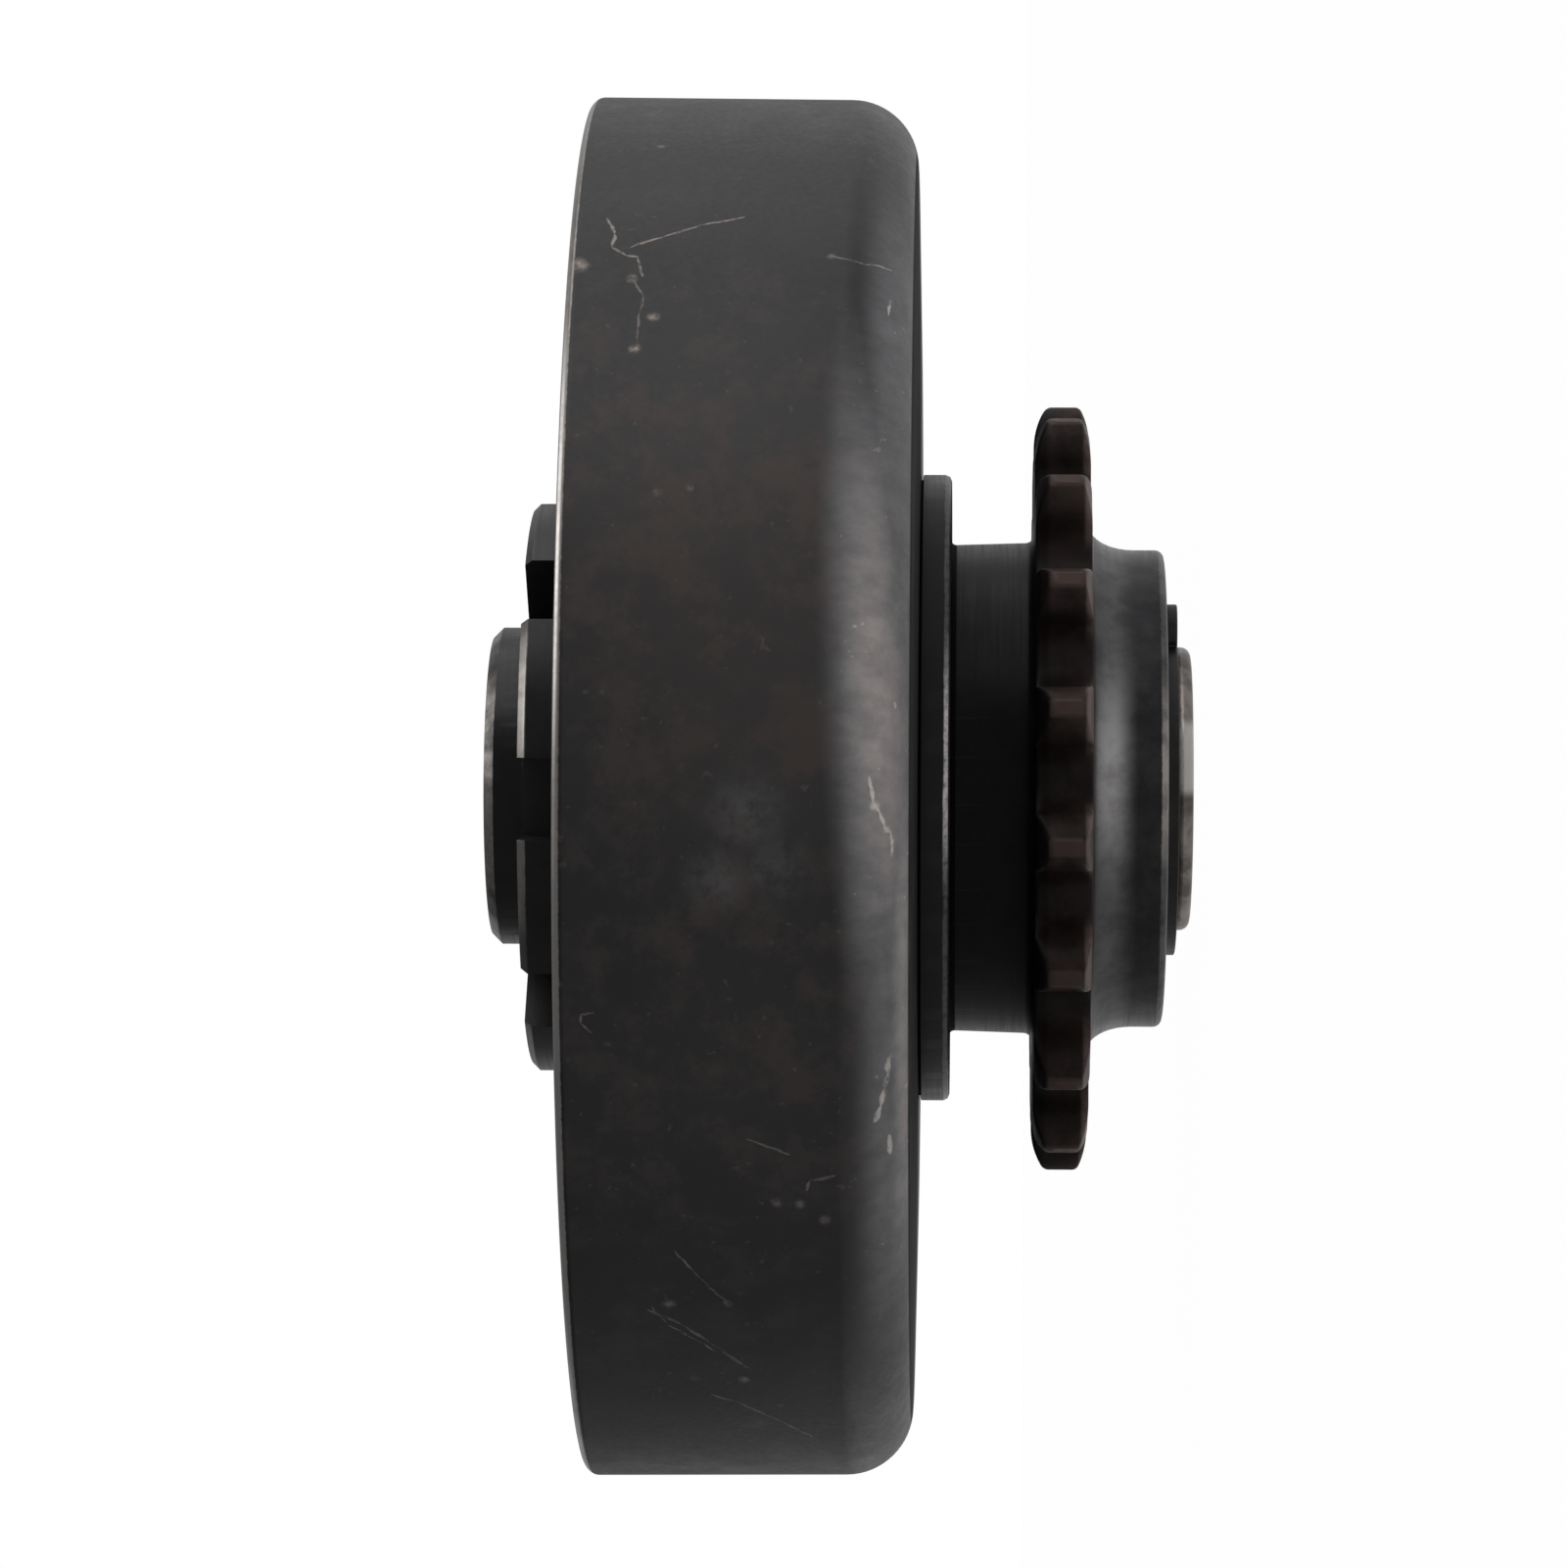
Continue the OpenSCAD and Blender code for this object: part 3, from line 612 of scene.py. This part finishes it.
def drum_finish():
    """Black oxide on drawn steel: brown mottling, corner wear with a painted highlight along it,
    painted shade low on the corner and on the back face, scratches and bare edges.
    """
    f = Finish("blackened_drum_steel")
    angle = f.x._math("ARCTAN2", f.y * -1)
    wobble = f.node("ShaderNodeTexNoise", 1, {"noise_dimensions": "3D"}, Vector=f.mm,
                    Scale=1.1, Detail=2.0)
    arc = angle * DRUM_R
    flat = f.node("ShaderNodeCombineXYZ", 0, None, X=arc, Y=f.z, Z=0.0)
    wavy = f.vector("ADD", flat, f.vector("SCALE", wobble, Scale=0.35))
    wavy = f.vector("SUBTRACT", wavy, (0.17, 0.17, 0.17))
    wavy = f.vector("MULTIPLY", wavy, (1, 1, 0))

    outside = f.r.step(DRUM_R - WALL + 0.5, DRUM_R - WALL + 0.9).highest(
        f.z.step(DRUM_BACK_Z + BACK - 0.4, DRUM_BACK_Z + BACK - 0.8))
    cloud = f.noise(14, 4, 0.6)
    mottle = f.noise(4.5, 6, 0.68, seed=7)
    speckle = f.noise(0.5, 3, 0.7, seed=2)
    brown_at = (f.spot(flat, on_wall(3, 30), 15) * 0.45 + f.spot(flat, on_wall(17, 36), 32)
                + f.spot(flat, on_wall(-20, 33), 24) * 0.6)
    brown = (mottle.step(0.44, 0.64) * (brown_at + 0.25)).clamped()
    scuff = f.spot(wavy, on_wall(-2, 32.5), 4.2).highest(f.spot(wavy, on_wall(-7, 34.5), 3.4))
    scuff = scuff.highest(f.spot(wavy, on_wall(-6, 30.5), 3.6) * 0.8)
    scuff = scuff.highest(f.spot(wavy, on_wall(-62, 32.6), 1.9) * 0.5)
    scuff = scuff * f.noise(1.6, 5, 0.7, seed=11).step(0.3, 0.62)
    # Wear and painted highlight on the corner: a spot of wear at the front, a painted highlight
    # band along the corner that is strongest at the front (corner), and a painted highlight low on
    # the corner's far side (under), broken up by noise.
    slanted = f.node("ShaderNodeCombineXYZ", 0, None, X=arc * 0.125, Y=f.z - arc * 0.045,
                     Z=0.0)
    wear_and_highlight = f.spot(slanted, (0.8, 23.6, 0), 4.3) * 0.85
    corner = (f.z - 22.6).size().step(3.2, 0.3) * (angle - 0.05).size().step(1.05, 0.65, 0.08, 1)
    under = f.z.step(22.9, 21.8) * angle.step(0.1, -0.15) * angle.step(-0.8, -0.5)
    patchy = wear_and_highlight.highest(corner * 0.38 + under * 0.35)
    wear_and_highlight = patchy * f.noise(2.2, 5, 0.7, stretch=(1, 1, 0.5), seed=5).step(0.28, 0.7, 0.62, 1)
    mark = drum_marks(f, wavy) * outside
    flecks = f.noise(0.8, 2, 0.5, seed=21).step(0.69, 0.75)
    mark = mark.highest(flecks * (wear_and_highlight * 0.7).highest(0.08) * outside)
    rim_sum = DRUM_R + RIM_Z - RIM_CHAMFER
    edge = (f.r + f.z + (speckle - 0.5) * 0.1).step(rim_sum - 0.12, rim_sum - 0.02)
    inner_edge = f.r.step(DRUM_R - WALL + 0.55, DRUM_R - WALL + 0.4) * f.z.step(RIM_Z - 0.5,
                                                                            RIM_Z - 0.3)
    track = (1 - outside) * f.z.step(26.8, 27.6) * f.z.step(43.4, 42.6)
    track = track * f.noise(3, 4, 0.6, stretch=(1, 1, 3), seed=9).step(0.25, 0.6, 0.5, 1)
    bare = edge.highest(inner_edge).highest(track)

    colour = f.mix(cloud.step(0.3, 0.7), srgb(26, 27, 29), srgb(33, 33, 35))
    colour = f.mix(mottle.step(0.35, 0.7) * 0.35, colour, srgb(52, 51, 52))
    colour = f.mix(brown_at.clamped() * 0.75, colour, srgb(64, 61, 60))
    colour = f.mix(brown * 0.6, colour, srgb(74, 64, 60))
    colour = f.mix(scuff * 0.55, colour, srgb(98, 97, 98))
    # The corner is painted lighter and more metallic where it is worn and where its highlight is
    # painted; marks and flecks there are painted lighter too.
    colour = f.mix(wear_and_highlight * outside, colour, f.mix(wear_and_highlight.step(0.2, 0.7), srgb(176, 176, 180),
                                                 srgb(178, 171, 169)))
    colour = f.mix(mark * 0.8, colour, f.mix(wear_and_highlight.step(0.1, 0.35), srgb(176, 164, 154),
                                             srgb(244, 236, 228)))
    colour = f.mix(bare, colour, srgb(182, 178, 174))
    metal = (wear_and_highlight * outside * 0.5 + 0.35 - mark * 0.4).highest(bare)
    rough = (speckle.step(0.2, 0.8, 0.36, 0.46) + mottle.step(0.3, 0.7) * 0.1 - bare * 0.12)
    # Painted shade: the lower side of the corner, away from the top light, is darkened and made
    # less metallic.
    painted_low_shade = angle.step(-0.95, -1.3) * f.z.step(30, 25) * outside
    colour = f.mix(painted_low_shade * 0.7, colour, srgb(18, 18, 19))
    metal = metal - painted_low_shade * 0.3
    # Painted shade: the front half of the drum's back face, beside the flange, is painted near
    # black and made rough.
    back = f.z.step(DRUM_BACK_Z + 0.5, DRUM_BACK_Z + 0.38) * (f.y * -1).step(-8, 12)
    colour = f.mix(back * cloud.step(0.2, 0.5, 0.7, 1), colour, srgb(9, 9, 10))
    rough = rough.highest(back * 0.9)
    height = speckle + mottle * 2 - mark * 4
    return f.finish(colour, rough, metal, height, 0.006, ior=1.45)


def sprocket_finish():
    """One turned and toothed piece: brown teeth, a near-black waist, a grey nose with a painted
    highlight on its fillet, and painted shade in the creases by the flange.
    """
    f = Finish("oiled_sprocket_steel")
    speckle = f.noise(0.5, 3, 0.7)
    cloud = f.noise(3.2, 5, 0.65, seed=4)
    turning = f.noise(0.25, 2, 0.6, at=f.around(), stretch=(0.05, 1, 1), seed=3)
    tooth = f.r.step(20.8, 21.4) * f.z.step(SPROCKET_Z - 0.2, SPROCKET_Z) * f.z.step(
        WAIST_Z + 0.2, WAIST_Z)
    nose = f.z.step(SPROCKET_Z + 0.1, SPROCKET_Z - 0.3)
    flange = f.z.step(FLANGE_Z - 0.1, FLANGE_Z) * f.r.step(19.5, 20)
    rings = f.noise(0.32, 3, 0.7, at=f.vector("MULTIPLY", f.mm, (0.02, 0.02, 1)), seed=5)
    # side: the front of the piece, a little towards +X, where painted highlights go on the nose
    # fillet and on the bare chamfers.
    side = (f.x / f.r - 0.08).size().step(0.55, 0.05, 0.35, 1) * (f.y * -1).step(-1, 1, 0.35, 1)
    fillet = (f.z - 6.6).size().step(2.3, 0.2) * nose * side
    tip_r = tooth_outline()[1]
    land = f.r.step(tip_r - 0.25, tip_r - 0.05) * tooth
    near_waist = f.z.step(WAIST_Z - 1.2, WAIST_Z - 0.7) * tooth
    near_nose = f.z.step(SPROCKET_Z + 0.75, SPROCKET_Z + 0.4) * f.r.step(25, 27) * tooth
    wear = f.r.step(tip_r - 2.2, tip_r - 0.3) * cloud.step(0.35, 0.65) * tooth
    nose_edge = (f.r - f.z + (speckle - 0.5) * 0.15).step(
        NOSE_R - NOSE_Z - NOSE_ROUND + 0.03, NOSE_R - NOSE_Z - NOSE_ROUND + 0.15)
    nose_edge = nose_edge * f.z.step(NOSE_Z + 1.2, NOSE_Z + 0.9)
    flange_edge = (f.r - f.z + (cloud - 0.5) * 0.25).step(
        FLANGE_R - FLANGE_Z - FLANGE_CHAMFER - 0.05,
        FLANGE_R - FLANGE_Z - FLANGE_CHAMFER + 0.05) * flange
    flange_edge = flange_edge * side.step(0.4, 1, 0.25, 1) * speckle.step(0.25, 0.6, 0.4, 1)
    colour = f.mix(cloud.step(0.3, 0.7), srgb(22, 22, 23), srgb(31, 31, 32))
    colour = f.mix(rings.step(0.5, 0.72) * 0.4, colour, srgb(30, 29, 30))
    colour = f.mix(flange * 0.8, colour, srgb(48, 47, 48))
    # Painted shade: near black in the gap between flange and drum, and in the crease where the
    # waist meets the flange.
    painted_crease_shade = f.z.step(DRUM_BACK_Z - FLANGE_GAP_H - 0.05, DRUM_BACK_Z - FLANGE_GAP_H + 0.02)
    painted_crease_shade = painted_crease_shade.highest(f.z.step(FLANGE_Z - 0.45, FLANGE_Z - 0.35)
                            * f.z.step(FLANGE_Z + 0.08, FLANGE_Z))
    colour = f.mix(nose, colour, f.mix(cloud.step(0.35, 0.65), srgb(52, 52, 55),
                                       srgb(70, 69, 70)))
    # Painted highlight: a light, partly metallic patch on the nose fillet at the front.
    colour = f.mix(fillet * cloud.step(0.3, 0.6, 0.6, 1), colour, srgb(174, 172, 173))
    colour = f.mix(tooth, colour, f.mix(cloud.step(0.35, 0.65), srgb(37, 31, 29),
                                        srgb(56, 46, 43)))
    colour = f.mix(wear * 0.5, colour, srgb(74, 60, 56))
    colour = f.mix(land * 0.8, colour, srgb(92, 76, 72))
    colour = f.mix(near_waist * 0.6, colour, srgb(13, 11, 12))
    colour = f.mix(near_nose * cloud.step(0.3, 0.6, 0.3, 1), colour, srgb(116, 100, 96))
    # The nose and flange chamfers are bare steel, painted much lighter on the front side as a
    # painted highlight.
    nose_edge = nose_edge * (side + 0.1) * cloud.step(0.3, 0.55, 0.5, 1)
    colour = f.mix(nose_edge * 0.85, colour, srgb(158, 154, 150))
    colour = f.mix(flange_edge * 0.85, colour, srgb(188, 184, 182))
    colour = f.mix(painted_crease_shade, colour, srgb(8, 8, 8))
    metal = (nose * 0.15 + fillet * 0.55 + near_nose * 0.4 + 0.02).highest(nose_edge).highest(
        flange_edge)
    rough = turning.step(0.2, 0.8, 0.27, 0.36) + tooth * 0.1
    rough = rough + painted_crease_shade * 0.5 + rings.step(0.4, 0.7) * 0.05
    return f.finish(colour, rough, metal, turning + speckle, 0.005, ior=1.2)


def hub_finish():
    """Blackened driver and boss with bare chamfers, and a ground bare sleeve with a painted
    highlight.
    """
    f = Finish("blackened_hub_steel")
    speckle = f.noise(0.5, 3, 0.7)
    cloud = f.noise(3.5, 5, 0.65, seed=6)
    turning = f.noise(0.22, 2, 0.6, at=f.around(), stretch=(0.04, 1, 1), seed=8)
    sleeve = f.z.step(plate_low[2], plate_low[2] - 0.3)
    driver_sum = DRIVER_R + DRIVER_TOP_Z - DRIVER_CHAMFER - 0.05
    driver_edge = (f.r + f.z + (cloud - 0.5) * 0.2).step(driver_sum - 0.08, driver_sum + 0.04)
    driver_edge = driver_edge * (f.x - 1).size().step(13, 7, 0.1, 1) * f.r.step(
        DRIVER_R - 1.0, DRIVER_R - 0.8) * f.z.step(DRIVER_TOP_Z + 0.2, DRIVER_TOP_Z)
    boss_sum = BOSS_R + TOP_Z - BOSS_CHAMFER
    boss_edge = (f.r + f.z + (cloud - 0.5) * 0.2).step(boss_sum - 0.06, boss_sum + 0.05)
    boss_edge = boss_edge * f.z.step(TOP_Z - 1.2, TOP_Z - 1.0) * f.r.step(10, 10.4)
    bore = f.r.step(BORE_R + 0.35, BORE_R + 0.1)
    bare = sleeve.highest(driver_edge).highest(boss_edge).highest(bore)
    tint = f.mix(cloud.step(0.3, 0.7), srgb(124, 119, 115), srgb(158, 154, 150))
    sleeve_wear_and_highlight = f.mix(cloud.step(0.4, 0.62), srgb(96, 91, 87), srgb(142, 135, 129))
    # Painted highlight: a near-white, less metallic patch on the front of the ground sleeve, over
    # the sleeve's wear colour.
    painted_sleeve_highlight = (f.x - 2.4).size().step(3.2, 1.8) * (f.y * -1).step(0, 3)
    sleeve_wear_and_highlight = f.mix(painted_sleeve_highlight, sleeve_wear_and_highlight, srgb(250, 245, 240))
    colour = f.mix(cloud.step(0.3, 0.7), srgb(26, 26, 27), srgb(35, 35, 36))
    colour = f.mix(bare, colour, f.mix(sleeve, tint, sleeve_wear_and_highlight))
    metal = bare.highest(0.3) - painted_sleeve_highlight * sleeve * 0.7
    rough = turning.step(0.2, 0.8, 0.3, 0.4) - bare * 0.04
    return f.finish(colour, rough, metal, turning + speckle, 0.005, ior=1.42)


def dark_ring_finish():
    f = Finish("spring_steel")
    cloud = f.noise(1.5, 4, 0.65)
    colour = f.mix(cloud.step(0.35, 0.7), srgb(30, 28, 28), srgb(48, 44, 43))
    return f.finish(colour, cloud.step(0.2, 0.8, 0.35, 0.48), 0.45, f.noise(0.3, 2), 0.004)


def plain_finish(name, colour, rough, metal, across=4, depth=0.006):
    """A plain metal with faint blotches and fine grain."""
    f = Finish(name)
    cloud = f.noise(across, 4, 0.6)
    grain = f.noise(0.3, 2)
    darker = tuple(c * 0.72 for c in colour[:3]) + (1.0,)
    return f.finish(f.mix(cloud.step(0.3, 0.7), darker, colour),
                    grain.step(0.2, 0.8, rough - 0.05, rough + 0.06), metal, grain, depth)


def washer_finish():
    """Bright steel that has been turned or rubbed round the axis."""
    f = Finish("bright_washer_steel")
    rings = f.noise(0.18, 3, 0.6, at=f.around(), stretch=(0.03, 1, 1))
    oil = f.noise(6, 4, 0.6, seed=5).step(0.45, 0.7)
    colour = f.mix(rings, srgb(150, 149, 147), srgb(190, 188, 184))
    colour = f.mix(oil * 0.5, colour, srgb(92, 84, 76))
    return f.finish(colour, rings.step(0.2, 0.8, 0.26, 0.38), 1.0, rings, 0.004)


def lining_finish():
    """Moulded friction lining: dark brown with metal and fibre flecks."""
    f = Finish("friction_lining")
    flecks = f.noise(0.45, 2, 0.6).step(0.62, 0.68)
    fibres = f.noise(0.5, 2, 0.6, stretch=(1, 0.2, 1), seed=4).step(0.62, 0.7)
    colour = f.mix(f.noise(2.5, 4), srgb(58, 48, 42), srgb(84, 70, 60))
    colour = f.mix(flecks * 0.8, colour, srgb(168, 138, 96))
    colour = f.mix(fibres * 0.5, colour, srgb(120, 112, 102))
    return f.finish(colour, 0.85, flecks * 0.7, f.noise(0.35, 3), 0.02)


# Floor, backdrop and light

def white_surface(name, shown):
    """White to the camera and in reflections; the rest of it is matt and takes the shadow."""
    material = bpy.data.materials.new(name)
    material.use_nodes = True
    tree = material.node_tree
    tree.nodes.clear()
    matt = tree.nodes.new("ShaderNodeBsdfDiffuse")
    matt.inputs["Color"].default_value = (0.8, 0.8, 0.8, 1)
    glow = tree.nodes.new("ShaderNodeEmission")
    glow.inputs["Strength"].default_value = 1.0
    path = tree.nodes.new("ShaderNodeLightPath")
    rays = [Value(tree, path.outputs[ray]) for ray in
            ("Is Camera Ray", "Is Glossy Ray", "Is Transmission Ray")]
    mix = tree.nodes.new("ShaderNodeMixShader")
    share = (rays[0] * shown[0] + rays[1] * shown[1] + rays[2] * shown[2]).clamped()
    connect(tree, mix.inputs["Fac"], share)
    tree.links.new(matt.outputs[0], mix.inputs[1])
    tree.links.new(glow.outputs[0], mix.inputs[2])
    out = tree.nodes.new("ShaderNodeOutputMaterial")
    tree.links.new(mix.outputs[0], out.inputs[0])
    return material


def add_plane(name, material, half, place=None):
    bm = bmesh.new()
    bmesh.ops.create_grid(bm, x_segments=1, y_segments=1, size=half)
    if place:
        bmesh.ops.transform(bm, matrix=place, verts=bm.verts)
    mesh = bpy.data.meshes.new(name)
    bm.to_mesh(mesh)
    bm.free()
    plane = bpy.data.objects.new(name, mesh)
    bpy.context.scene.collection.objects.link(plane)
    mesh.materials.append(material)


def add_world():
    """Soft light all round, white where the camera sees it past the backdrop."""
    world = bpy.data.worlds.new("studio")
    bpy.context.scene.world = world
    world.use_nodes = True
    tree = world.node_tree
    tree.nodes.clear()
    path = tree.nodes.new("ShaderNodeLightPath")
    seen = Value(tree, path.outputs["Is Camera Ray"])
    mirrored = Value(tree, path.outputs["Is Glossy Ray"])
    through = Value(tree, path.outputs["Is Transmission Ray"])
    back = tree.nodes.new("ShaderNodeBackground")
    back.inputs["Color"].default_value = (1, 1, 1, 1)
    seen = seen.highest(through)
    connect(tree, back.inputs["Strength"], seen.highest(0.3 - mirrored * 0.15))
    out = tree.nodes.new("ShaderNodeOutputWorld")
    tree.links.new(back.outputs[0], out.inputs[0])


# Each soft light: name, place, width and power; all are square and aim at the clutch's middle
CLUTCH_MIDDLE = (0, 0, 0.03)
LIGHTS = [("top_softbox", (0.75, -0.12, 0.12), 1.0, 4.9),
          ("back_softbox", (0.6, 0.5, 0.1), 0.5, 0.35),
          ("left_softbox", (0.24, 0.1, 0.69), 0.35, 0.9)]


def add_light(name, place, width, power):
    lamp = bpy.data.lights.new(name, "AREA")
    lamp.shape, lamp.size = "SQUARE", width
    lamp.energy = power
    light = bpy.data.objects.new(name, lamp)
    bpy.context.scene.collection.objects.link(light)
    light.location = place
    light.rotation_mode = "QUATERNION"
    light.rotation_quaternion = (Vector(CLUTCH_MIDDLE) - Vector(place)).to_track_quat("-Z", "Y")


bpy.context.scene.view_settings.view_transform = "Standard"
add_camera()
add_world()
add_plane("floor", white_surface("white_floor", (0.985, 0.55, 1.0)), 4)
upright = Matrix.Translation((0, 1.5, 0)) @ Matrix.Rotation(math.radians(90), 4, "X")
add_plane("backdrop", white_surface("white_backdrop", (1.0, 0.2, 1.0)), 1.2, upright)
for given in LIGHTS:
    add_light(*given)

drum_steel = drum_finish()
sprocket_steel = sprocket_finish()
hub_steel = hub_finish()
bright_steel = washer_finish()
spring_steel = dark_ring_finish()
shoe_steel = plain_finish("sintered_shoe_steel", srgb(118, 115, 112), 0.55, 0.45, 5, 0.015)
bronze = plain_finish("oil_bronze", srgb(172, 122, 72), 0.38, 1.0)
lining = lining_finish()

make_drum(drum_steel)
make_sprocket(sprocket_steel)
make_hub(hub_steel)
node_copy("snap_ring", "snap_ring_rounded", spring_steel, 0.2, "hub")
node_copy("shoe_retainer", "shoe_retainer_rounded", spring_steel, 0.12, "hub")
ring_piece("outer_washer", "outer_thrust_washer", "hub", bright_steel,
           JOURNAL_R + 0.05, outer_high[0])
ring_piece("inner_washer", "inner_thrust_washer", "hub", bright_steel,
           JOURNAL_R + 0.02, inner_high[0])
ring_piece("shoe_guide_plate", "guide_plate", "hub", bright_steel,
           PILOT_R + 0.02, plate_high[0])
ring_piece("bushing", "bronze_bushing", "drum", bronze,
           JOURNAL_R + 0.05, bushing_high[0], 0.25)
make_spring(spring_steel)
for number in range(1, SHOES + 1):
    node_copy(f"shoe_{number}", f"shoe_body_{number}", shoe_steel, 0.3, f"shoe_{number}",
              30)
    node_copy(f"lining_{number}", f"lining_block_{number}", lining, 0.25, f"shoe_{number}",
              30)
